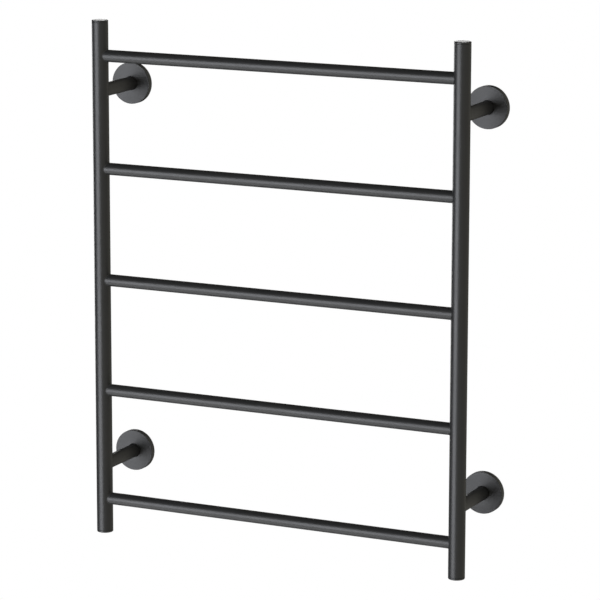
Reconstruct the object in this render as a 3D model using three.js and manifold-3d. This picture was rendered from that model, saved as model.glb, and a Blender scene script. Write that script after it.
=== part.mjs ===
// Wall-mounted ladder towel warmer: two uprights, five rungs, four hollow posts that carry it off the
// wall, a cover plate round each post, and a heating cable that snakes through the tubes.
//
// Frame, in millimetres: +Z is up, the wall is the plane y = 0 and the room is on the -Y side.
// The origin is on the wall, midway between the four fixings.

import * as THREE from "three";
import { mergeVertices } from "three/addons/utils/BufferGeometryUtils.js";
import Module from "manifold-3d";

// ---- Driving dimensions ----
const HEIGHT = 740; // overall, cap to cap
const UPRIGHT_SPACING = 550; // between the uprights' axes
const STANDOFF = 97; // wall to the uprights' axes
const RUNG_COUNT = 5;
const RUNG_PITCH = 160;
const FIXING_HEIGHT = 540; // between the upper and the lower fixings

// Radii are over the coating.
const UPRIGHT = { radius: 11.65, wall: 1.5 };
const RUNG = { radius: 8.6, wall: 1.2 };
const POST = { radius: 9.6, wall: 2 };
const TUBE_SIDES = 24;
const TUBE_REACH = 4.5; // a rung or post stops this far short of the upright's axis, inside it

const FIT = 0.3; // clearance between pieces that touch or slide on each other
const OVERRUN = 1; // how far a cutting tool passes beyond a face
const CAP = { thickness: 3, edge: 1.2, plugLength: 12, plugWall: 1.4 };

const BRACKET = { radius: 22, thickness: 3, spigotLength: 22, bore: 2.8, chamfer: 0.6 };
const GLAND_SEAT = { radius: 4.6, depth: 2.5 };
const WALL_HOLES = { count: 3, circleRadius: 15.5, radius: 2.3, headRadius: 4.3, headDepth: 2 };
const SET_SCREW = { radius: 2, length: 4, standoff: 16, recess: 0.2, socketRadius: 1.15, socketDepth: 2 };

const COVER = { radius: 29.75, depth: 9, wall: 1.5, chamfer: 0.5 };
const COLLAR = { wall: 3.3, rear: 3.8 }; // rear: the collar's rear face, measured from the wall
const GROOVE = { depth: 1.7, from: 4.7, to: 6.9 }; // in the collar's bore
const O_RING = { section: 0.8, sectionSides: 6 };

const CABLE = { radius: 1.6, sides: 8, bend: 9, bendSteps: 4, overlap: 0.5 };
const CUT_OUT = { radius: 3, length: 14, edge: 1, drop: 25 }; // drop: how far below the post's axis it lies
const END_SEAL = { radius: 2.8, length: 16, edge: 1 };
const CABLE_END = 236; // how far left of centre the heating cable stops in the top rung
const GLAND = { flangeLength: 2, sleeveRadius: 2.5, sleeveLength: 8, bore: 1.9 };

// ---- Derived places ----
const SIDES = [["left", -1], ["right", 1]];
const ENDS = [["top", 1], ["bottom", -1]];
const UPRIGHT_X = UPRIGHT_SPACING / 2;
const FIXING_Z = FIXING_HEIGHT / 2;
const rungHeight = (index) => ((RUNG_COUNT - 1) / 2 - index) * RUNG_PITCH;

// ---- Materials ----
const blackCoat = new THREE.MeshStandardMaterial({ color: 0x303032, roughness: 0.5, metalness: 0.1 });
const blackZinc = new THREE.MeshStandardMaterial({ color: 0x78797c, roughness: 0.4, metalness: 1 });
const screwSteel = new THREE.MeshStandardMaterial({ color: 0x55565a, roughness: 0.35, metalness: 1 });
const rubber = new THREE.MeshStandardMaterial({ color: 0x161616, roughness: 0.85, metalness: 0 });
const silicone = new THREE.MeshStandardMaterial({ color: 0x8a3b2a, roughness: 0.6, metalness: 0 });
const nylon = new THREE.MeshStandardMaterial({ color: 0xd8d4c8, roughness: 0.55, metalness: 0 });

const wasm = await Module();
wasm.setup();

// ---- Solids ----
// A closed geometry as a solid that can be joined and cut.
function solidOf(geometry) {
  const plain = geometry.index ? geometry.toNonIndexed() : geometry.clone();
  plain.deleteAttribute("normal");
  plain.deleteAttribute("uv");
  const merged = mergeVertices(plain, 1e-4);
  return new wasm.Manifold(
    new wasm.Mesh({
      numProp: 3,
      vertProperties: merged.attributes.position.array,
      triVerts: new Uint32Array(merged.index.array),
    }),
  );
}

function geometryOf(solid) {
  const mesh = solid.getMesh();
  const geometry = new THREE.BufferGeometry();
  geometry.setAttribute("position", new THREE.BufferAttribute(mesh.vertProperties, 3));
  geometry.setIndex(new THREE.BufferAttribute(mesh.triVerts, 1));
  geometry.computeVertexNormals();
  return geometry;
}

function cut(geometry, ...tools) {
  const result = tools.reduce((solid, tool) => solid.subtract(solidOf(tool)), solidOf(geometry));
  return geometryOf(result);
}

function join(geometries) {
  const [first, ...rest] = geometries.map(solidOf);
  return geometryOf(rest.reduce((solid, other) => solid.add(other), first));
}

// A profile of [radius, height] points turned about Y. Heights rise with +Y.
function turned(profile, sides) {
  return new THREE.LatheGeometry(profile.map(([r, h]) => new THREE.Vector2(r, h)), sides);
}

const closedProfile = (points) => [...points, points[0]];

// A round tube along Y, centred on the origin.
function tube(radius, wall, length, sides = TUBE_SIDES) {
  const half = length / 2;
  const inner = radius - wall;
  const section = [[inner, -half], [radius, -half], [radius, half], [inner, half]];
  return turned(closedProfile(section), sides);
}

const rod = (radius, length, sides) => new THREE.CylinderGeometry(radius, radius, length, sides);

// The three ways that a solid made along Y is turned: along X, along Z, or out from the wall (-Y).
const alongX = (geometry) => geometry.rotateZ(-Math.PI / 2);
const alongZ = (geometry) => geometry.rotateX(Math.PI / 2);
const outFromWall = (geometry) => geometry.rotateX(Math.PI);

// ---- The pieces, each about its own reference point ----
// An upright's tube, about its middle: a hole for each rung on the inner side and for each post behind.
function uprightGeometry(inward) {
  const length = HEIGHT - 2 * (CAP.thickness + FIT);
  const reach = UPRIGHT.radius * 2;
  const rungHole = (index) =>
    alongX(rod(RUNG.radius + FIT, reach, TUBE_SIDES))
      .translate((inward * reach) / 2, 0, rungHeight(index));
  const postHole = (z) => rod(POST.radius + FIT, reach, TUBE_SIDES).translate(0, reach / 2, z);
  const rungHoles = Array.from({ length: RUNG_COUNT }, (_, index) => rungHole(index));
  const postHoles = ENDS.map(([, up]) => postHole(up * FIXING_Z));
  return cut(alongZ(tube(UPRIGHT.radius, UPRIGHT.wall, length)), ...rungHoles, ...postHoles);
}

function rungGeometry() {
  return alongX(tube(RUNG.radius, RUNG.wall, UPRIGHT_SPACING - 2 * TUBE_REACH));
}

// A cap about the centre of its flange's inner face, with its crown towards +Z.
function capGeometry() {
  const { thickness, edge, plugLength, plugWall } = CAP;
  const plug = UPRIGHT.radius - UPRIGHT.wall - FIT;
  const roundedEdge = [0, 45, 90].map((degrees) => {
    const turn = THREE.MathUtils.degToRad(degrees);
    return [
      UPRIGHT.radius - edge + edge * Math.cos(turn),
      thickness - edge + edge * Math.sin(turn),
    ];
  });
  const profile = [
    [0, 0],
    [plug - plugWall, 0],
    [plug - plugWall, -plugLength],
    [plug, -plugLength],
    [plug, 0],
    [UPRIGHT.radius, 0],
    ...roundedEdge,
    [0, thickness],
  ];
  return alongZ(turned(profile, TUBE_SIDES));
}

// A post's hollow tube, about the point where its axis meets the wall, with the set screw's hole below.
function postGeometry() {
  const near = BRACKET.thickness + FIT;
  const far = STANDOFF - TUBE_REACH;
  const body = tube(POST.radius, POST.wall, far - near).translate(0, -(near + far) / 2, 0);
  const screwHole = alongZ(rod(SET_SCREW.radius + FIT, POST.radius, TUBE_SIDES / 2))
    .translate(0, -SET_SCREW.standoff, -POST.radius);
  return cut(body, screwHole);
}

// A bracket: a round foot on the wall, three countersunk holes, and a spigot that the post slides over.
function bracketGeometry() {
  const { radius, thickness, spigotLength, bore, chamfer } = BRACKET;
  const spigot = POST.radius - POST.wall - FIT;
  const tip = thickness + spigotLength;
  const profile = [
    [bore, GLAND_SEAT.depth],
    [GLAND_SEAT.radius, GLAND_SEAT.depth],
    [GLAND_SEAT.radius, 0],
    [radius, 0],
    [radius, thickness - chamfer],
    [radius - chamfer, thickness],
    [spigot, thickness],
    [spigot, tip - chamfer],
    [spigot - chamfer, tip],
    [bore, tip],
  ];
  const { count, circleRadius, radius: holeRadius, headRadius, headDepth } = WALL_HOLES;
  const holeProfile = [
    [0, -OVERRUN],
    [holeRadius, -OVERRUN],
    [holeRadius, thickness - headDepth],
    [headRadius, thickness],
    [headRadius, thickness + OVERRUN],
    [0, thickness + OVERRUN],
  ];
  const wallHole = (index) =>
    turned(holeProfile, TUBE_SIDES / 2)
      .translate(0, 0, circleRadius)
      .rotateY((index * 2 * Math.PI) / count);
  const wallHoles = Array.from({ length: count }, (_, index) => wallHole(index));
  const seatDepth = SET_SCREW.recess + SET_SCREW.length + FIT;
  const screwSeat = alongZ(rod(SET_SCREW.radius + FIT, seatDepth, TUBE_SIDES / 2))
    .translate(0, -SET_SCREW.standoff, -POST.radius + seatDepth / 2);
  const blank = outFromWall(cut(turned(closedProfile(profile), TUBE_SIDES), ...wallHoles));
  return cut(blank, screwSeat);
}

// A grub screw with a hexagon socket, along Z with the socket below.
function setScrewGeometry() {
  const { radius, length, socketRadius, socketDepth } = SET_SCREW;
  const socket = rod(socketRadius, 2 * socketDepth, 6).translate(0, -length / 2, 0);
  return alongZ(cut(rod(radius, length, TUBE_SIDES / 2), socket));
}

// A cover: a shallow cup over the bracket, with a grooved collar that slides on the post.
function coverGeometry() {
  const { radius, depth, wall, chamfer } = COVER;
  const bore = POST.radius + FIT;
  const profile = [
    [bore, COLLAR.rear],
    [bore + COLLAR.wall, COLLAR.rear],
    [bore + COLLAR.wall, depth - wall],
    [radius - wall, depth - wall],
    [radius - wall, FIT],
    [radius, FIT],
    [radius, depth - chamfer],
    [radius - chamfer, depth],
    [bore, depth],
    [bore, GROOVE.to],
    [bore + GROOVE.depth, GROOVE.to],
    [bore + GROOVE.depth, GROOVE.from],
    [bore, GROOVE.from],
  ];
  return outFromWall(turned(closedProfile(profile), TUBE_SIDES));
}

function oRingGeometry() {
  const { section, sectionSides } = O_RING;
  const ringRadius = POST.radius + FIT + section;
  const ring = new THREE.TorusGeometry(ringRadius, section, sectionSides, TUBE_SIDES);
  return ring.rotateX(Math.PI / 2).translate(0, -(GROOVE.from + GROOVE.to) / 2, 0);
}

// A rubber gland in the bracket's rear seat, with a sleeve round the cable.
function glandGeometry() {
  const { flangeLength, sleeveRadius, sleeveLength, bore } = GLAND;
  const flange = GLAND_SEAT.radius - FIT;
  const profile = [
    [bore, FIT],
    [flange, FIT],
    [flange, flangeLength],
    [sleeveRadius, flangeLength],
    [sleeveRadius, sleeveLength],
    [bore, sleeveLength],
  ];
  return outFromWall(turned(closedProfile(profile), TUBE_SIDES / 2));
}

// A capsule along Z about its middle, with chamfered ends.
function capsuleGeometry({ radius, length, edge }) {
  const half = length / 2;
  const profile = [
    [0, -half],
    [radius - edge, -half],
    [radius, -half + edge],
    [radius, half - edge],
    [radius - edge, half],
    [0, half],
  ];
  return alongZ(turned(profile, TUBE_SIDES / 2));
}

// ---- The cable ----
// A cubic curve whose handles reach this share of the way to the corner follows a quarter circle.
const QUARTER_CIRCLE_PULL = 0.5523;

const section = new THREE.Shape(
  Array.from({ length: CABLE.sides }, (_, index) => {
    const turn = ((index + 0.5) * 2 * Math.PI) / CABLE.sides;
    return new THREE.Vector2(CABLE.radius * Math.cos(turn), CABLE.radius * Math.sin(turn));
  }),
);

function sweep(path, steps) {
  return new THREE.ExtrudeGeometry(section, { extrudePath: path, steps, bevelEnabled: false });
}

// A cable through the given corners: straight runs joined by bends, made as one solid.
function cableGeometry(corners) {
  const points = corners.map((corner) => new THREE.Vector3(...corner));
  const towards = (from, to, distance) =>
    from.clone().add(to.clone().sub(from).setLength(distance));
  const pieces = [];
  for (let i = 1; i < points.length; i++) {
    const [from, to] = [points[i - 1], points[i]];
    const bendBefore = i > 1 ? CABLE.bend - CABLE.overlap : 0;
    const bendAfter = i < points.length - 1 ? CABLE.bend - CABLE.overlap : 0;
    const run = new THREE.LineCurve3(
      towards(from, to, bendBefore),
      towards(to, from, bendAfter),
    );
    pieces.push(sweep(run, 1));
  }
  for (let i = 1; i < points.length - 1; i++) {
    const corner = points[i];
    const start = towards(corner, points[i - 1], CABLE.bend);
    const end = towards(corner, points[i + 1], CABLE.bend);
    const bend = new THREE.CubicBezierCurve3(
      start,
      start.clone().lerp(corner, QUARTER_CIRCLE_PULL),
      end.clone().lerp(corner, QUARTER_CIRCLE_PULL),
      end,
    );
    pieces.push(sweep(bend, CABLE.bendSteps));
  }
  return join(pieces);
}

// The run from the gland through the lower right post and down the upright to the thermal cut-out.
const CUT_OUT_Z = -FIXING_Z - CUT_OUT.drop;
function supplyTailCorners() {
  return [
    [UPRIGHT_X, -2 * FIT, -FIXING_Z],
    [UPRIGHT_X, -STANDOFF, -FIXING_Z],
    [UPRIGHT_X, -STANDOFF, CUT_OUT_Z + CUT_OUT.length / 2 + FIT],
  ];
}

// The run from the cut-out down, then to and fro through the rungs from the lowest to the highest.
function heatingCableCorners() {
  const corners = [[UPRIGHT_X, -STANDOFF, CUT_OUT_Z - CUT_OUT.length / 2 - FIT]];
  let side = 1;
  for (let index = RUNG_COUNT - 1; index >= 0; index--) {
    const last = index === 0;
    corners.push([side * UPRIGHT_X, -STANDOFF, rungHeight(index)]);
    corners.push([last ? -CABLE_END : -side * UPRIGHT_X, -STANDOFF, rungHeight(index)]);
    side = -side;
  }
  return corners;
}

// ---- Assembly ----
const towelWarmer = new THREE.Group();

function add(name, geometry, material, position = [0, 0, 0]) {
  const mesh = new THREE.Mesh(geometry, material);
  mesh.name = name;
  mesh.position.set(...position);
  towelWarmer.add(mesh);
  return mesh;
}

for (const [sideName, side] of SIDES) {
  const x = side * UPRIGHT_X;
  add(`upright_${sideName}`, uprightGeometry(-side), blackCoat, [x, -STANDOFF, 0]);

  for (const [endName, up] of ENDS) {
    const place = `${endName}_${sideName}`;
    const capSeat = [x, -STANDOFF, up * (HEIGHT / 2 - CAP.thickness)];
    const cap = add(`end_cap_${place}`, capGeometry(), blackCoat, capSeat);
    cap.rotation.x = up > 0 ? 0 : Math.PI;

    const fixing = [x, 0, up * FIXING_Z];
    const screwZ = up * FIXING_Z - POST.radius + SET_SCREW.recess + SET_SCREW.length / 2;
    add(`wall_post_${place}`, postGeometry(), blackCoat, fixing);
    add(`wall_bracket_${place}`, bracketGeometry(), blackZinc, fixing);
    add(`set_screw_${place}`, setScrewGeometry(), screwSteel, [x, -SET_SCREW.standoff, screwZ]);
    add(`cover_plate_${place}`, coverGeometry(), blackCoat, fixing);
    add(`cover_o_ring_${place}`, oRingGeometry(), rubber, fixing);
  }
}

for (let index = 0; index < RUNG_COUNT; index++) {
  add(`rung_${index + 1}`, rungGeometry(), blackCoat, [0, -STANDOFF, rungHeight(index)]);
}

add("lead_gland", glandGeometry(), rubber, [UPRIGHT_X, 0, -FIXING_Z]);
add("supply_tail", cableGeometry(supplyTailCorners()), rubber);
add("thermal_cut_out", capsuleGeometry(CUT_OUT), nylon, [UPRIGHT_X, -STANDOFF, CUT_OUT_Z]);
add("heating_cable", cableGeometry(heatingCableCorners()), silicone);

const endSeal = add("cable_end_seal", capsuleGeometry(END_SEAL), rubber);
endSeal.position.set(-CABLE_END - FIT - END_SEAL.length / 2, -STANDOFF, rungHeight(0));
endSeal.rotation.y = Math.PI / 2;

export default towelWarmer;
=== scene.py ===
"""Looks of a ladder towel warmer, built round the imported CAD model: fine meshes and satin powder coat.

Lengths are in metres. Places and sizes come from the CAD nodes' boxes, and the rest is named below.
"""

import math

import bmesh
import bpy
from mathutils import Matrix, Vector


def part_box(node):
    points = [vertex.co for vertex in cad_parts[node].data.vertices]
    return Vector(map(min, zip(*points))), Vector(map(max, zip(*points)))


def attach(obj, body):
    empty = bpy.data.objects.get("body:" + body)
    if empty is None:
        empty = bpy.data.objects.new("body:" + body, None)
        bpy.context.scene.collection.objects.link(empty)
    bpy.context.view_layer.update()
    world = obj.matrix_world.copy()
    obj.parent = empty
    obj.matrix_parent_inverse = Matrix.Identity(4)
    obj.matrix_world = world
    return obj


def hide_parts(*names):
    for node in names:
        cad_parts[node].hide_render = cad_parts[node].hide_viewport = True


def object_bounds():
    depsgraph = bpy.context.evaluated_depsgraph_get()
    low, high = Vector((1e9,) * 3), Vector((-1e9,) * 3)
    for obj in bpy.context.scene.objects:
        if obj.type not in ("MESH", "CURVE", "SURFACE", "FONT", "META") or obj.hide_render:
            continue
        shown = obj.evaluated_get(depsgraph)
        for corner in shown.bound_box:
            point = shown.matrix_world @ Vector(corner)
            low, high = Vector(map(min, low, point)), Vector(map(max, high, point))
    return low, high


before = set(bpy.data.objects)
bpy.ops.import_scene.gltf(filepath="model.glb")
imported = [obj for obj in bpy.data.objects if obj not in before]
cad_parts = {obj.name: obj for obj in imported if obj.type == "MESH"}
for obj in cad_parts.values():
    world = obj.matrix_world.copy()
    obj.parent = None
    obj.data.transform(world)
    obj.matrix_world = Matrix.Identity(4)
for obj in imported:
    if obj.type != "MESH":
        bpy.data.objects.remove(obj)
cad_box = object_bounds()

MM = 0.001
X, Y, Z = Vector((1, 0, 0)), Vector((0, 1, 0)), Vector((0, 0, 1))
SIDES = {"left": -1, "right": 1}
ENDS = {"top": 1, "bottom": -1}
PLACES = [(f"{end}_{side}", SIDES[side], ENDS[end]) for end in ENDS for side in SIDES]
RUNGS = [f"rung_{number}" for number in range(1, 6)]

# Fineness of the meshes.
ROUND_STEPS = 96
SMALL_ROUND_STEPS = 48
CABLE_STEPS = 16
HEXAGON_STEPS = 6
ARC_STEPS = 5
BEAD_STEPS = 7
SUPPORT = 0.2 * MM  # a row of points this far beside each rounded edge keeps flat faces evenly lit
SHARP_ANGLE = math.radians(38)
MERGE_DISTANCE = 1e-7
OVERRUN = 1 * MM  # how far a cutting tool passes beyond a face

# Sizes that the CAD boxes don't give.
UPRIGHT_WALL = 1.5 * MM
RUNG_WALL = 1.2 * MM
POST_WALL = 2.0 * MM
RUNG_ROWS = (2 * MM, 6 * MM)  # rows of points this far past the upright keep the coped end's curve short
POST_ROW = 3 * MM
TUBE_EDGE = 0.25 * MM
SADDLE_SINK = 0.4 * MM  # a coped end reaches this far into the upright's wall
WELD_LEG = 1.0 * MM
WELD_OVERLAP = SADDLE_SINK / 8  # how far a bead's feet are sunk into the tubes
WELD_HOLLOW = 0.62  # 1 is a sharp inner corner, 0 a flat bead
WELD_RIPPLES = 34
WELD_RIPPLE = 0.035
CAP_EDGE = 1.1 * MM
CAP_SEAM_EDGE = 0.15 * MM
CAP_PLUG_WALL = 1.4 * MM
PLATE_WALL = 1.5 * MM
PLATE_EDGE = 0.6 * MM
PLATE_BORE_EDGE = 0.35 * MM
COLLAR = {"wall": 3.3 * MM, "rear": 3.8 * MM}
GROOVE = {"depth": 1.7 * MM, "rear": 4.7 * MM, "front": 6.9 * MM}
RUNNING_GAP = 0.3 * MM
FOOT = {"thickness": 3 * MM, "edge": 0.5 * MM, "bore": 2.8 * MM}
GLAND_SEAT = {"radius": 4.6 * MM, "depth": 2.5 * MM}
SPIGOT_EDGE = 0.6 * MM
WALL_HOLE = {"count": 3, "circle": 15.5 * MM, "radius": 2.3 * MM, "head": 4.3 * MM, "head_depth": 2 * MM}
SCREW_HOLE = 2.3 * MM
SOCKET = {"radius": 1.15 * MM, "depth": 2 * MM, "cone": 0.6 * MM}
GLAND = {"bore": 1.9 * MM, "flange": 2 * MM, "sleeve": 2.5 * MM}
CABLE_BEND = 9 * MM


# ---- Meshes ----
def mesh_piece(name, bm):
    """An object from a bmesh: smooth faces, sharp edges where it turns sharply, normals outwards."""
    bmesh.ops.remove_doubles(bm, verts=bm.verts, dist=MERGE_DISTANCE)
    bmesh.ops.recalc_face_normals(bm, faces=bm.faces)
    for face in bm.faces:
        face.smooth = True
    for edge in bm.edges:
        edge.smooth = edge.calc_face_angle(0) < SHARP_ANGLE
    mesh = bpy.data.meshes.new(name)
    bm.to_mesh(mesh)
    bm.free()
    piece = bpy.data.objects.new(name, mesh)
    bpy.context.scene.collection.objects.link(piece)
    return piece


def skin(name, rings, closed=True):
    """A surface over rings of equally many points. Closed joins the last ring to the first."""
    bm = bmesh.new()
    rows = [[bm.verts.new(point) for point in ring] for ring in rings]
    pairs = list(zip(rows, rows[1:] + rows[:1]))
    for near, far in pairs if closed else pairs[:-1]:
        for i, vertex in enumerate(near):
            bm.faces.new((near[i - 1], vertex, far[i], far[i - 1]))
    return mesh_piece(name, bm)


def rounded(corners):
    """A closed outline from (x, y, radius) corners: an arc at each, with a support point beside it."""
    outline = []
    for i, (x, y, radius) in enumerate(corners):
        corner = Vector((x, y))
        if radius == 0:
            outline.append(corner)
            continue
        back = Vector(corners[i - 1][:2]) - corner
        ahead = Vector(corners[(i + 1) % len(corners)][:2]) - corner
        half_angle = back.angle(ahead) / 2
        reach = radius / math.tan(half_angle)
        inward = (back.normalized() + ahead.normalized()).normalized()
        centre = corner + inward * (radius / math.sin(half_angle))
        first = corner + back.normalized() * reach - centre
        last = corner + ahead.normalized() * reach - centre
        if back.length > 2 * (reach + SUPPORT):
            outline.append(centre + first + back.normalized() * SUPPORT)
        turns = (step / ARC_STEPS for step in range(ARC_STEPS + 1))
        outline += [centre + first.slerp(last, turn) * radius for turn in turns]
        if ahead.length > 2 * (reach + SUPPORT):
            outline.append(centre + last + ahead.normalized() * SUPPORT)
    return outline


def round_angles(steps):
    return [2 * math.pi * i / steps for i in range(steps)]


def turned(name, outline, base, axis, closed=True, steps=ROUND_STEPS):
    """An outline of (radius, height) points turned about the axis through base."""
    turn = axis.to_track_quat("Z", "Y")
    circle = [(math.cos(angle), math.sin(angle)) for angle in round_angles(steps)]
    rings = [[base + turn @ Vector((c * r, s * r, h)) for c, s in circle] for r, h in outline]
    return skin(name, rings, closed)


def drill(outline, base, axis, steps=SMALL_ROUND_STEPS):
    """A cutting tool: a solid from an outline that starts and ends on the axis."""
    return turned("drill", outline, base, axis, closed=False, steps=steps)


def swept(name, path, radius, normal):
    """A round cable with domed ends along a path that lies in the plane of the given normal."""
    before = path[:1] + path[:-1]
    after = path[1:] + path[-1:]
    tangents = [(ahead - back).normalized() for back, ahead in zip(before, after)]

    def ring(centre, tangent, r):
        side = tangent.cross(normal)
        return [centre + (side * math.cos(a) + normal * math.sin(a)) * r for a in round_angles(CABLE_STEPS)]

    def dome(centre, tangent, way):
        rings = []
        for step in range(1, ARC_STEPS + 1):
            turn = math.pi / 2 * step / ARC_STEPS
            rise = way * radius / 2 * math.sin(turn)
            rings.append(ring(centre + tangent * rise, tangent, radius * math.cos(turn)))
        return rings

    body = [ring(centre, tangent, radius) for centre, tangent in zip(path, tangents)]
    start, end = dome(path[0], tangents[0], -1), dome(path[-1], tangents[-1], 1)
    return skin(name, start[::-1] + body + end, closed=False)


def cut(piece, *tools):
    """Takes the tools' shapes out of the piece, and removes the tools."""
    for tool in tools:
        modifier = piece.modifiers.new("cut", "BOOLEAN")
        modifier.operation = "DIFFERENCE"
        modifier.solver = "EXACT"
        modifier.object = tool
    graph = bpy.context.evaluated_depsgraph_get()
    bm = bmesh.new()
    bm.from_object(piece, graph)
    name = piece.name
    for used in (piece, *tools):
        bpy.data.objects.remove(used)
    return mesh_piece(name, bm)


def middle(node):
    low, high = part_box(node)
    return (low + high) / 2


def half_size(node):
    low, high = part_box(node)
    return (high - low) / 2


# ---- Where tubes meet an upright ----
UPRIGHT_RADIUS = half_size("upright_left").x


class Branch:
    """A tube that leaves an upright at a right angle: its axis starts on the upright's axis."""

    def __init__(self, start, along, radius):
        self.start = start
        self.along = along
        self.across = along.cross(Z)
        self.radius = radius

    def point(self, radius, angle, distance):
        outwards = self.across * math.cos(angle) + Z * math.sin(angle)
        return self.start + self.along * distance + outwards * radius

    def saddle(self, radius, angle):
        """How far along the branch the upright's surface is, at that place on a tube of that radius."""
        return math.sqrt(UPRIGHT_RADIUS**2 - (radius * math.cos(angle)) ** 2)

    def ring(self, radius, distance_at):
        return [self.point(radius, angle, distance_at(angle)) for angle in round_angles(ROUND_STEPS)]


def coped(branch, radius):
    """The branch's end on the upright, a little way into its wall."""
    return lambda angle: branch.saddle(radius, angle) - SADDLE_SINK


def weld(name, branch):
    """A bead round the branch's foot, hollow in section, with a weld's faint ripples under its coating."""
    back = branch.radius - 2 * SADDLE_SINK
    rings = []
    for angle in round_angles(2 * ROUND_STEPS):
        leg = WELD_LEG * (1 + WELD_RIPPLE * math.sin(WELD_RIPPLES * angle))
        rim = branch.radius + leg
        corner = Vector((branch.saddle(branch.radius, angle), branch.radius))
        on_tube = corner + Vector((leg, -WELD_OVERLAP))
        on_upright = Vector((branch.saddle(rim, angle) - WELD_OVERLAP, rim))
        straight = (on_tube + on_upright) / 2
        pull = straight + (corner - straight) * WELD_HOLLOW
        face = []
        for step in range(BEAD_STEPS + 1):
            t = step / BEAD_STEPS
            face.append(on_tube * (1 - t) ** 2 + pull * (2 * t * (1 - t)) + on_upright * t**2)
        root = [
            Vector((on_upright.x - SADDLE_SINK, on_upright.y)),
            Vector((branch.saddle(back, angle) - SADDLE_SINK, back)),
            Vector((on_tube.x, back)),
        ]
        rings.append([branch.point(p.y, angle, p.x) for p in face + root])
    return skin(name, rings)


# ---- The pieces ----
def upright_tube(node):
    centre, half = middle(node), half_size(node)
    inner = half.x - UPRIGHT_WALL
    corners = [
        (inner, -half.z, 0),
        (half.x, -half.z, TUBE_EDGE),
        (half.x, half.z, TUBE_EDGE),
        (inner, half.z, 0),
    ]
    return turned(f"{node}_tube", rounded(corners), centre, Z)


def rung_tube(node):
    """A tube between the uprights, coped to fit them at both ends."""
    radius = half_size(node).z
    inner = radius - RUNG_WALL
    left = Branch(Vector((middle("upright_left").x, middle(node).y, middle(node).z)), X, radius)
    span = middle("upright_right").x - middle("upright_left").x
    near = [UPRIGHT_RADIUS + extra for extra in (*RUNG_ROWS, span / 4)]

    def from_left(r):
        return [left.ring(r, coped(left, r))] + [left.ring(r, lambda a, d=d: d) for d in near]

    def from_right(r):
        straight = [left.ring(r, lambda a, d=d: span - d) for d in reversed(near)]
        return straight + [left.ring(r, lambda a: span - coped(left, r)(a))]

    outer = from_left(radius) + from_right(radius)
    bore = from_left(inner) + from_right(inner)
    return skin(f"{node}_tube", outer + bore[::-1])


def rung_welds(node):
    radius = half_size(node).z
    welds = []
    for side, way in SIDES.items():
        start = Vector((middle(f"upright_{side}").x, middle(node).y, middle(node).z))
        welds.append(weld(f"weld_{node}_{side}", Branch(start, X * -way, radius)))
    return welds


def end_cap(node, way):
    """A cap with a hollow plug, which leaves a fine seam on its tube."""
    low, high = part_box(node)
    centre, radius = middle(node), half_size(node).x
    side = "left" if centre.x < 0 else "right"
    tube_end = half_size(f"upright_{side}").z
    crown = max(abs(low.z), abs(high.z))
    plug_end = min(abs(low.z), abs(high.z))
    seam = tube_end + RUNNING_GAP
    plug = radius - UPRIGHT_WALL - RUNNING_GAP
    corners = [
        (0, seam, 0),
        (plug - CAP_PLUG_WALL, seam, 0),
        (plug - CAP_PLUG_WALL, plug_end, 0),
        (plug, plug_end, TUBE_EDGE),
        (plug, seam, 0),
        (radius, seam, CAP_SEAM_EDGE),
        (radius, crown, CAP_EDGE),
        (0, crown, 0),
    ]
    base = Vector((centre.x, centre.y, 0))
    return turned(f"{node}_piece", rounded(corners), base, Z * way, closed=False)


def post_branch(place, side):
    post = f"wall_post_{place}"
    start = Vector((middle(post).x, middle(f"upright_{side}").y, middle(post).z))
    return Branch(start, Y, half_size(post).x)


def screw_hole_outline(depth):
    return [(0, 0), (SCREW_HOLE, 0), (SCREW_HOLE, depth), (0, depth)]


def post_tube(place, side):
    """A tube from its coped end on the upright to the wall bracket, with the grub screw's hole below."""
    node = f"wall_post_{place}"
    branch = post_branch(place, side)
    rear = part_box(node)[1].y - branch.start.y
    screw = middle(f"set_screw_{place}").y - branch.start.y
    inner = branch.radius - POST_WALL
    around_screw = (screw - 2 * SCREW_HOLE, screw + 2 * SCREW_HOLE)
    stations = [UPRIGHT_RADIUS + POST_ROW, *around_screw, rear - TUBE_EDGE]

    def straight(r):
        return [branch.ring(r, lambda a, d=d: d) for d in stations]

    outer = [branch.ring(branch.radius, coped(branch, branch.radius))] + straight(branch.radius)
    bore = [branch.ring(inner, coped(branch, inner))] + straight(inner)
    end = [branch.ring(r, lambda a: rear) for r in (branch.radius - TUBE_EDGE, inner + TUBE_EDGE)]
    tube = skin(f"{node}_tube", outer + end + bore[::-1])
    hole_base = branch.start + Y * screw
    return cut(tube, drill(screw_hole_outline(2 * branch.radius), hole_base, -Z))


def wall_point(place):
    """Where the post's axis meets the wall."""
    centre = middle(f"wall_post_{place}")
    return Vector((centre.x, 0, centre.z))


def cover_plate(place):
    """A shallow cup whose collar slides on the post and has a groove for the O-ring."""
    node = f"cover_plate_{place}"
    low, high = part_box(node)
    radius, face, rear = half_size(node).x, -low.y, -high.y
    bore = half_size(f"wall_post_{place}").x + RUNNING_GAP
    collar, groove = bore + COLLAR["wall"], bore + GROOVE["depth"]
    inside = face - PLATE_WALL
    corners = [
        (bore, COLLAR["rear"], TUBE_EDGE / 2),
        (collar, COLLAR["rear"], TUBE_EDGE),
        (collar, inside, TUBE_EDGE),
        (radius - PLATE_WALL, inside, PLATE_EDGE),
        (radius - PLATE_WALL, rear, TUBE_EDGE),
        (radius, rear, TUBE_EDGE),
        (radius, face, PLATE_EDGE),
        (bore, face, PLATE_BORE_EDGE),
        (bore, GROOVE["front"], 0),
        (groove, GROOVE["front"], 0),
        (groove, GROOVE["rear"], 0),
        (bore, GROOVE["rear"], 0),
    ]
    return turned(f"{node}_piece", rounded(corners), wall_point(place), -Y)


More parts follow.
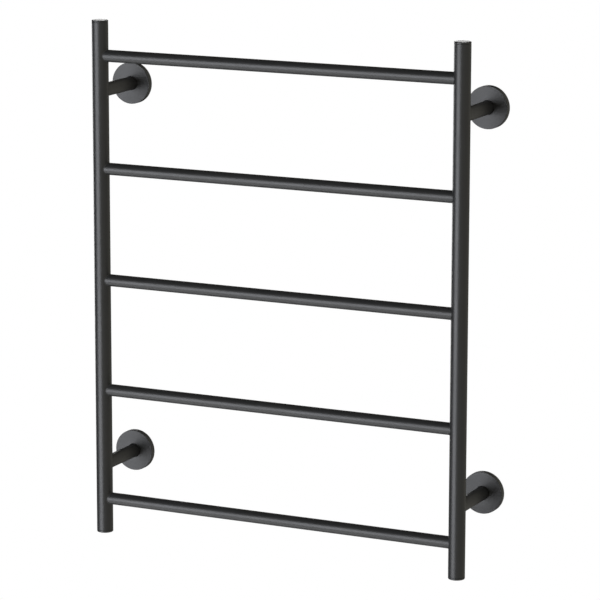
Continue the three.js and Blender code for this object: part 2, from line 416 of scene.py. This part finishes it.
def cover_o_ring(place):
    node = f"cover_o_ring_{place}"
    half = half_size(node)
    section = half.y
    ring = half.x - section
    outline = [
        (ring + section * math.cos(angle), section * math.sin(angle))
        for angle in round_angles(SMALL_ROUND_STEPS)
    ]
    return turned(f"{node}_piece", outline, middle(node), -Y)


def wall_bracket(place):
    """A round foot with countersunk holes, a seat for a gland behind, and a spigot for the post."""
    node = f"wall_bracket_{place}"
    foot = half_size(node).x
    tip = -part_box(node)[0].y
    spigot = half_size(f"wall_post_{place}").x - POST_WALL - RUNNING_GAP
    corners = [
        (FOOT["bore"], GLAND_SEAT["depth"], 0),
        (GLAND_SEAT["radius"], GLAND_SEAT["depth"], 0),
        (GLAND_SEAT["radius"], 0, TUBE_EDGE),
        (foot, 0, FOOT["edge"]),
        (foot, FOOT["thickness"], FOOT["edge"]),
        (spigot, FOOT["thickness"], TUBE_EDGE),
        (spigot, tip, SPIGOT_EDGE),
        (FOOT["bore"], tip, TUBE_EDGE),
    ]
    base = wall_point(place)
    bracket = turned(f"{node}_piece", rounded(corners), base, -Y)
    hole_outline = [
        (0, -OVERRUN),
        (WALL_HOLE["radius"], -OVERRUN),
        (WALL_HOLE["radius"], FOOT["thickness"] - WALL_HOLE["head_depth"]),
        (WALL_HOLE["head"], FOOT["thickness"]),
        (WALL_HOLE["head"], FOOT["thickness"] + OVERRUN),
        (0, FOOT["thickness"] + OVERRUN),
    ]
    tools = []
    for turn in round_angles(WALL_HOLE["count"]):
        centre = base + (X * math.sin(turn) - Z * math.cos(turn)) * WALL_HOLE["circle"]
        tools.append(drill(hole_outline, centre, -Y))
    screw = f"set_screw_{place}"
    seat_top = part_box(screw)[1].z + RUNNING_GAP
    seat_base = Vector((middle(screw).x, middle(screw).y, seat_top))
    tools.append(drill(screw_hole_outline(2 * spigot), seat_base, -Z))
    return cut(bracket, *tools)


def set_screw(place):
    """A grub screw with a chamfered rim and a hexagon socket that ends in a drilled cone."""
    node = f"set_screw_{place}"
    half = half_size(node)
    corners = [
        (0, -half.z, 0),
        (half.x - TUBE_EDGE, -half.z, 0),
        (half.x, -half.z + TUBE_EDGE, 0),
        (half.x, half.z - TUBE_EDGE, 0),
        (half.x - TUBE_EDGE, half.z, 0),
        (0, half.z, 0),
    ]
    centre, steps = middle(node), SMALL_ROUND_STEPS
    body = turned(f"{node}_piece", rounded(corners), centre, -Z, closed=False, steps=steps)
    bottom = half.z - SOCKET["depth"]
    socket_outline = [
        (0, bottom - SOCKET["cone"]),
        (SOCKET["radius"], bottom),
        (SOCKET["radius"], 2 * half.z),
        (0, 2 * half.z),
    ]
    return cut(body, drill(socket_outline, centre, -Z, steps=HEXAGON_STEPS))


def lead_gland():
    """A bored plug with a flange, in the seat behind a bracket's foot."""
    node = "lead_gland"
    low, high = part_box(node)
    corners = [
        (GLAND["bore"], -high.y, TUBE_EDGE),
        (half_size(node).x, -high.y, TUBE_EDGE),
        (half_size(node).x, GLAND["flange"], TUBE_EDGE),
        (GLAND["sleeve"], GLAND["flange"], TUBE_EDGE),
        (GLAND["sleeve"], -low.y, TUBE_EDGE / 2),
        (GLAND["bore"], -low.y, TUBE_EDGE / 2),
    ]
    base = Vector((middle(node).x, 0, middle(node).z))
    return turned(f"{node}_piece", rounded(corners), base, -Y, steps=SMALL_ROUND_STEPS)


def capsule(node, axis):
    """A rod with rounded ends that fills the node's box along the axis."""
    half_length, radius = half_size(node).dot(axis), min(half_size(node))
    corners = [
        (0, -half_length, 0),
        (radius, -half_length, radius / 2),
        (radius, half_length, radius / 2),
        (0, half_length, 0),
    ]
    centre, steps = middle(node), SMALL_ROUND_STEPS
    return turned(f"{node}_piece", rounded(corners), centre, axis, closed=False, steps=steps)


def bent_path(corners, bend):
    """A path through the corners with a round bend at each inner one."""
    path = [corners[0]]
    for before, corner, after in zip(corners, corners[1:], corners[2:]):
        back, ahead = (before - corner).normalized(), (after - corner).normalized()
        centre = corner + (back + ahead) * bend
        turns = (i / (2 * ARC_STEPS) for i in range(2 * ARC_STEPS + 1))
        path += [centre + (-ahead).slerp(-back, t) * bend for t in turns]
    return path + [corners[-1]]


def heating_cable():
    """To and fro through the rungs, from the thermal cut-out in the right upright to the top rung's seal."""
    left, right = middle("upright_left").x, middle("upright_right").x
    depth = middle("upright_left").y
    cut_out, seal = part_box("thermal_cut_out")[0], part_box("cable_end_seal")[1]
    corners = [Vector((right, depth, cut_out.z - RUNNING_GAP))]
    for number, rung in enumerate(reversed(RUNGS)):
        from_x, to_x = (right, left) if number % 2 == 0 else (left, right)
        if rung == RUNGS[0]:
            to_x = seal.x + RUNNING_GAP
        corners += [Vector((from_x, depth, middle(rung).z)), Vector((to_x, depth, middle(rung).z))]
    return swept("heating_cable_piece", bent_path(corners, CABLE_BEND), half_size("heating_cable").y, Y)


def supply_tail():
    """From the gland through the lower right post, then down the upright to the thermal cut-out."""
    low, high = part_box("supply_tail")
    radius = half_size("supply_tail").x
    height, x = middle("lead_gland").z, middle("lead_gland").x
    corners = [
        Vector((x, high.y - radius / 2, height)),
        Vector((x, middle("upright_right").y, height)),
        Vector((x, middle("upright_right").y, low.z + radius / 2)),
    ]
    return swept("supply_tail_piece", bent_path(corners, CABLE_BEND), radius, X)


# ---- Materials ----
NOISE_MIDDLE = (0.3, 0.7)  # most of a noise's values lie between these
BEVEL_SAMPLES = 4
COAT = {
    "dark": (0.021, 0.0215, 0.022),
    "light": (0.030, 0.0305, 0.032),
    "grain": 0.35 * MM,
    "peel": 1.6 * MM,
    "cloud": 45 * MM,
    "relief": 0.05 * MM,
    "rubbed_edge": 0.8 * MM,
}
COAT_SHADE = {"grain": 0.6, "cloud": 0.4, "rubbed": 1.5}  # how far each turns the colour from dark to light
COAT_ROUGH = {"grain": 0.05, "cloud": 0.02, "rubbed": 0.1}  # how far each shifts the roughness
GRAIN_HEIGHT = 0.5  # against 1 for the orange peel
MOULDED_ROUGH = 0.06
MOULDED_RELIEF = 0.02 * MM
END_POLISH = 0.21  # how much less rough a cap's moulded end is than its side
END_SHARPNESS = 24  # the higher, the sooner the polish stops as a cap's end turns into its side


class Nodes:
    """Short calls for making a material's nodes."""

    def __init__(self, name):
        self.material = bpy.data.materials.new(name)
        self.material.use_nodes = True
        self.tree = self.material.node_tree
        self.shader = self.tree.nodes["Principled BSDF"]
        self.place = self.add("ShaderNodeTexCoord").outputs["Object"]

    def add(self, kind, **settings):
        node = self.tree.nodes.new(kind)
        for key, value in settings.items():
            setattr(node, key, value)
        return node

    def link(self, source, target):
        self.tree.links.new(source, target)

    def set(self, **values):
        for key, value in values.items():
            self.shader.inputs[key.replace("_", " ")].default_value = value

    def noise(self, size, detail=2.0, stretch=(1, 1, 1)):
        """Noise between about 0.2 and 0.8 whose features are about that many metres across."""
        mapping = self.add("ShaderNodeMapping")
        self.link(self.place, mapping.inputs["Vector"])
        mapping.inputs["Scale"].default_value = stretch
        node = self.add("ShaderNodeTexNoise")
        self.link(mapping.outputs["Vector"], node.inputs["Vector"])
        node.inputs["Scale"].default_value = 1 / size
        node.inputs["Detail"].default_value = detail
        return node.outputs["Fac"]

    def spread(self, source, low, high):
        """The source's middle range as a number from low to high."""
        node = self.add("ShaderNodeMapRange")
        self.link(source, node.inputs["Value"])
        node.inputs["From Min"].default_value, node.inputs["From Max"].default_value = NOISE_MIDDLE
        node.inputs["To Min"].default_value = low
        node.inputs["To Max"].default_value = high
        return node.outputs["Result"]

    def combine(self, operation, first, second):
        node = self.add("ShaderNodeMath", operation=operation)
        for value, socket in ((first, node.inputs[0]), (second, node.inputs[1])):
            if isinstance(value, (int, float)):
                socket.default_value = value
            else:
                self.link(value, socket)
        return node.outputs["Value"]

    def colour(self, source, dark, light):
        """A colour that runs from dark to light with the source, into the shader."""
        node = self.add("ShaderNodeMix", data_type="RGBA")
        self.link(source, node.inputs["Factor"])
        node.inputs["A"].default_value = (*dark, 1)
        node.inputs["B"].default_value = (*light, 1)
        self.link(node.outputs["Result"], self.shader.inputs["Base Color"])

    def roughness(self, source):
        self.link(source, self.shader.inputs["Roughness"])

    def bump(self, height, depth):
        """Relief of that many metres between height 0 and 1."""
        node = self.add("ShaderNodeBump")
        self.link(height, node.inputs["Height"])
        node.inputs["Distance"].default_value = depth
        self.link(node.outputs["Normal"], self.shader.inputs["Normal"])

    def flatness(self):
        """1 on faces that look straight up or down, and 0 on the rest."""
        split = self.add("ShaderNodeSeparateXYZ")
        self.link(self.add("ShaderNodeNewGeometry").outputs["Normal"], split.inputs["Vector"])
        return self.combine("POWER", self.combine("ABSOLUTE", split.outputs["Z"], 0), END_SHARPNESS)

    def edges(self, radius):
        """1 on edges and 0 on faces, from how much a small bevel would turn the surface."""
        bevel = self.add("ShaderNodeBevel", samples=BEVEL_SAMPLES)
        bevel.inputs["Radius"].default_value = radius
        plain = self.add("ShaderNodeNewGeometry")
        turn = self.add("ShaderNodeVectorMath", operation="DOT_PRODUCT")
        self.link(bevel.outputs["Normal"], turn.inputs[0])
        self.link(plain.outputs["Normal"], turn.inputs[1])
        return self.combine("SUBTRACT", 1, turn.outputs["Value"])


def powder_coat(name, rough, shine=0.5, smooth_ends=False):
    """Satin black powder coat: fine orange peel, a sandy grain, and slightly barer, glossier edges."""
    nodes = Nodes(name)
    grain = nodes.noise(COAT["grain"], detail=3)
    peel = nodes.noise(COAT["peel"], detail=1)
    cloud = nodes.noise(COAT["cloud"])
    worn = nodes.combine("MULTIPLY", nodes.edges(COAT["rubbed_edge"]), COAT_SHADE["rubbed"])
    grain_shade = nodes.spread(grain, 0, COAT_SHADE["grain"])
    shade = nodes.combine("ADD", grain_shade, nodes.spread(cloud, 0, COAT_SHADE["cloud"]))
    nodes.colour(nodes.combine("ADD", shade, worn), COAT["dark"], COAT["light"])
    cloud_rough = nodes.spread(cloud, rough - COAT_ROUGH["cloud"], rough + COAT_ROUGH["cloud"])
    grain_rough = nodes.spread(grain, -COAT_ROUGH["grain"], COAT_ROUGH["grain"])
    base = nodes.combine("ADD", cloud_rough, grain_rough)
    if smooth_ends:
        base = nodes.combine("SUBTRACT", base, nodes.combine("MULTIPLY", nodes.flatness(), END_POLISH))
    polish = nodes.combine("MULTIPLY", worn, COAT_ROUGH["rubbed"])
    nodes.roughness(nodes.combine("SUBTRACT", base, polish))
    height = nodes.combine("ADD", nodes.combine("MULTIPLY", grain, GRAIN_HEIGHT), peel)
    if smooth_ends:
        height = nodes.combine("MULTIPLY", height, nodes.combine("SUBTRACT", 1, nodes.flatness()))
    nodes.bump(height, COAT["relief"])
    nodes.set(Specular_IOR_Level=shine)
    return nodes.material


def zinc_steel():
    """Turned steel with a black zinc plate: a dim metal with faint turning lines and a mottled shine."""
    nodes = Nodes("zinc_steel")
    mottle = nodes.noise(4 * MM, detail=4)
    lines = nodes.noise(0.5 * MM, stretch=(1, 12, 1))
    nodes.colour(mottle, (0.14, 0.14, 0.145), (0.23, 0.23, 0.235))
    nodes.roughness(nodes.spread(mottle, 0.32, 0.46))
    nodes.bump(nodes.combine("ADD", lines, mottle), 0.02 * MM)
    nodes.set(Metallic=1.0)
    return nodes.material


def oxide_steel():
    """Black oxide screw steel with brighter rubbed edges."""
    nodes = Nodes("oxide_steel")
    speck = nodes.noise(0.3 * MM, detail=3)
    worn = nodes.combine("MULTIPLY", nodes.edges(0.2 * MM), 2)
    shade = nodes.combine("ADD", nodes.spread(speck, 0, 0.4), worn)
    nodes.colour(shade, (0.06, 0.06, 0.065), (0.3, 0.3, 0.31))
    nodes.roughness(nodes.spread(speck, 0.3, 0.45))
    nodes.bump(speck, 0.01 * MM)
    nodes.set(Metallic=1.0)
    return nodes.material


def moulded(name, dark, light, rough, grain_size):
    """Moulded rubber, silicone or nylon: a soft sheen with fine mottling."""
    nodes = Nodes(name)
    grain = nodes.noise(grain_size, detail=3)
    nodes.colour(nodes.spread(grain, 0, 1), dark, light)
    nodes.roughness(nodes.spread(grain, rough - MOULDED_ROUGH, rough + MOULDED_ROUGH))
    nodes.bump(grain, MOULDED_RELIEF)
    return nodes.material


# ---- Putting the pieces on the frame ----
def finish_piece(piece, body, slot, material, *nodes):
    """Gives a piece its material and its body, and hides the CAD nodes that it stands for. The slot is not
    used.
    """
    piece.data.materials.clear()
    piece.data.materials.append(material)
    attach(piece, body)
    if nodes:
        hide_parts(*nodes)


def build_rack():
    coat = powder_coat("powder_coat", rough=0.42)
    plate_coat = powder_coat("powder_coat_plate", rough=0.45, shine=0.46)
    cap_coat = powder_coat("powder_coat_cap", rough=0.42, smooth_ends=True)
    zinc, oxide = zinc_steel(), oxide_steel()
    rubber = moulded("rubber", (0.012, 0.012, 0.012), (0.022, 0.022, 0.022), rough=0.62, grain_size=0.5 * MM)
    silicone = moulded("silicone", (0.26, 0.045, 0.025), (0.36, 0.07, 0.045), rough=0.5, grain_size=1.5 * MM)
    nylon = moulded("nylon", (0.60, 0.57, 0.49), (0.70, 0.67, 0.60), rough=0.45, grain_size=2 * MM)

    for side in SIDES:
        finish_piece(upright_tube(f"upright_{side}"), "rack", "powder_coat", coat, f"upright_{side}")
    for rung in RUNGS:
        finish_piece(rung_tube(rung), "rack", "powder_coat", coat, rung)
        for bead in rung_welds(rung):
            finish_piece(bead, "rack", "powder_coat", coat)

    for place, way, up in PLACES:
        side = "left" if way < 0 else "right"
        cap, post, bracket = f"end_cap_{place}", f"wall_post_{place}", f"wall_bracket_{place}"
        plate, ring, screw = f"cover_plate_{place}", f"cover_o_ring_{place}", f"set_screw_{place}"
        finish_piece(end_cap(cap, up), "rack", "powder_coat", cap_coat, cap)
        finish_piece(post_tube(place, side), "rack", "powder_coat", coat, post)
        finish_piece(weld(f"weld_post_{place}", post_branch(place, side)), "rack", "powder_coat", coat)
        finish_piece(wall_bracket(place), "rack", "zinc_steel", zinc, bracket)
        finish_piece(set_screw(place), "rack", "screw_steel", oxide, screw)
        finish_piece(cover_plate(place), f"cover_{place}", "powder_coat", plate_coat, plate)
        finish_piece(cover_o_ring(place), f"cover_{place}", "rubber", rubber, ring)

    finish_piece(lead_gland(), "rack", "rubber", rubber, "lead_gland")
    finish_piece(supply_tail(), "rack", "rubber", rubber, "supply_tail")
    finish_piece(heating_cable(), "rack", "silicone", silicone, "heating_cable")
    finish_piece(capsule("thermal_cut_out", Z), "rack", "nylon", nylon, "thermal_cut_out")
    finish_piece(capsule("cable_end_seal", X), "rack", "rubber", rubber, "cable_end_seal")


# ---- Camera, floor and light ----
# Angles are in degrees, the lens and the sensor in millimetres.
CAMERA = {
    "azimuth": 25.674,
    "elevation": 11.577,
    "roll": 0.105,
    "distance": 4.471,
    "lens": 194.4,
    "sensor": 36,
}
AIM = Vector((0.0362, middle("upright_left").y, -0.0017))  # what the camera and the lights face
FLOOR_DROP = 0.7  # below the lowest point, as when the rack hangs at its usual height
FLOOR_SIZE = 60

# The surround's strength grows from left to right, over the X of the direction that it is seen in.
WORLD_RAMP = {"From Min": -0.25, "From Max": 0.4, "To Min": 0.03, "To Max": 0.46}
WORLD_TINT = (1.0, 0.97, 0.86)
WHITE = (1.0, 1.0, 1.0)
COOL = (0.98, 0.99, 1.0)
BLUISH = (0.93, 0.95, 1.0)
BEHIND = 180 + CAMERA["azimuth"]

# Soft lights. A light's place is its azimuth, elevation and distance.
LIGHTS = {
    "key": {"place": (-26.5, -5.5, 6.0), "width": 5.05, "height": 4.2, "radiance": 6.3, "colour": BLUISH},
    "floor_front": {"place": (-40, -45, 5.0), "width": 4.5, "height": 3.5, "radiance": 1.9, "colour": COOL},
    "floor_below": {"place": (-90, -75, 4.0), "width": 4.5, "height": 3.5, "radiance": 0.55, "colour": COOL},
    "back_left": {"place": (236, -2, 6.0), "width": 3.0, "height": 2.0, "radiance": 3.6, "colour": COOL},
    "back_card": {"place": (BEHIND, 7, 6.0), "width": 1.8, "height": 0.6, "radiance": 3.2, "colour": WHITE},
}


def direction(azimuth, elevation):
    """From the object outwards: azimuth 0 is in front and 90 on the right; elevation is upwards."""
    a, e = math.radians(azimuth), math.radians(elevation)
    return Vector((math.sin(a) * math.cos(e), -math.cos(a) * math.cos(e), math.sin(e)))


def facing_aim(azimuth, elevation, distance):
    """The place of a camera or a light that looks at the aim from there."""
    out = direction(azimuth, elevation)
    turn = out.to_track_quat("Z", "Y").to_matrix().to_4x4()
    return Matrix.Translation(AIM + out * distance) @ turn


def add_camera():
    camera = bpy.data.objects.new("camera", bpy.data.cameras.new("camera"))
    bpy.context.scene.collection.objects.link(camera)
    camera.data.lens = CAMERA["lens"]
    camera.data.sensor_width = CAMERA["sensor"]
    roll = Matrix.Rotation(math.radians(CAMERA["roll"]), 4, "Z")
    camera.matrix_world = facing_aim(CAMERA["azimuth"], CAMERA["elevation"], CAMERA["distance"]) @ roll
    bpy.context.scene.camera = camera


def add_soft_light(name, place, width, height, radiance, colour):
    light = bpy.data.lights.new(name, "AREA")
    light.shape = "RECTANGLE"
    light.size = width
    light.size_y = height
    light.energy = radiance * math.pi * width * height
    light.color = colour
    lamp = bpy.data.objects.new(name, light)
    lamp.visible_camera = False
    bpy.context.scene.collection.objects.link(lamp)
    lamp.matrix_world = facing_aim(*place)


def add_world():
    """White behind the object; the light that it throws is dim, warm and stronger from the right."""
    world = bpy.data.worlds.new("surround")
    bpy.context.scene.world = world
    world.use_nodes = True
    tree = world.node_tree
    place = tree.nodes.new("ShaderNodeTexCoord")
    split = tree.nodes.new("ShaderNodeSeparateXYZ")
    tree.links.new(place.outputs["Generated"], split.inputs["Vector"])
    ramp = tree.nodes.new("ShaderNodeMapRange")
    tree.links.new(split.outputs["X"], ramp.inputs["Value"])
    for key, value in WORLD_RAMP.items():
        ramp.inputs[key].default_value = value
    path = tree.nodes.new("ShaderNodeLightPath")
    mix = tree.nodes.new("ShaderNodeMix")
    tree.links.new(path.outputs["Is Camera Ray"], mix.inputs["Factor"])
    tree.links.new(ramp.outputs["Result"], mix.inputs["A"])
    mix.inputs["B"].default_value = 1.0
    tree.links.new(mix.outputs["Result"], tree.nodes["Background"].inputs["Strength"])
    tint = tree.nodes.new("ShaderNodeMix")
    tint.data_type = "RGBA"
    tree.links.new(path.outputs["Is Camera Ray"], tint.inputs["Factor"])
    tint.inputs["A"].default_value = (*WORLD_TINT, 1)
    tint.inputs["B"].default_value = (*WHITE, 1)
    tree.links.new(tint.outputs["Result"], tree.nodes["Background"].inputs["Color"])


def add_floor():
    """A plain pale floor that glows evenly and throws no light on the object.

    It hides the lower part of the low lights, and is clear from below.
    """
    material = bpy.data.materials.new("floor")
    material.use_nodes = True
    tree = material.node_tree
    glow = tree.nodes.new("ShaderNodeEmission")
    glow.inputs["Color"].default_value = (*WHITE, 1)
    clear = tree.nodes.new("ShaderNodeBsdfTransparent")
    geometry = tree.nodes.new("ShaderNodeNewGeometry")
    sides = tree.nodes.new("ShaderNodeMixShader")
    tree.links.new(geometry.outputs["Backfacing"], sides.inputs["Fac"])
    tree.links.new(glow.outputs["Emission"], sides.inputs[1])
    tree.links.new(clear.outputs["BSDF"], sides.inputs[2])
    tree.links.new(sides.outputs["Shader"], tree.nodes["Material Output"].inputs["Surface"])
    bm = bmesh.new()
    bmesh.ops.create_grid(bm, x_segments=1, y_segments=1, size=FLOOR_SIZE / 2)
    floor = mesh_piece("floor", bm)
    floor.data.materials.append(material)
    floor.location.z = cad_box[0].z - FLOOR_DROP
    floor.visible_diffuse = False
    floor.visible_glossy = False


bpy.context.scene.view_settings.view_transform = "Standard"
add_camera()
add_world()
add_floor()
for light_name, light in LIGHTS.items():
    add_soft_light(light_name, **light)
build_rack()
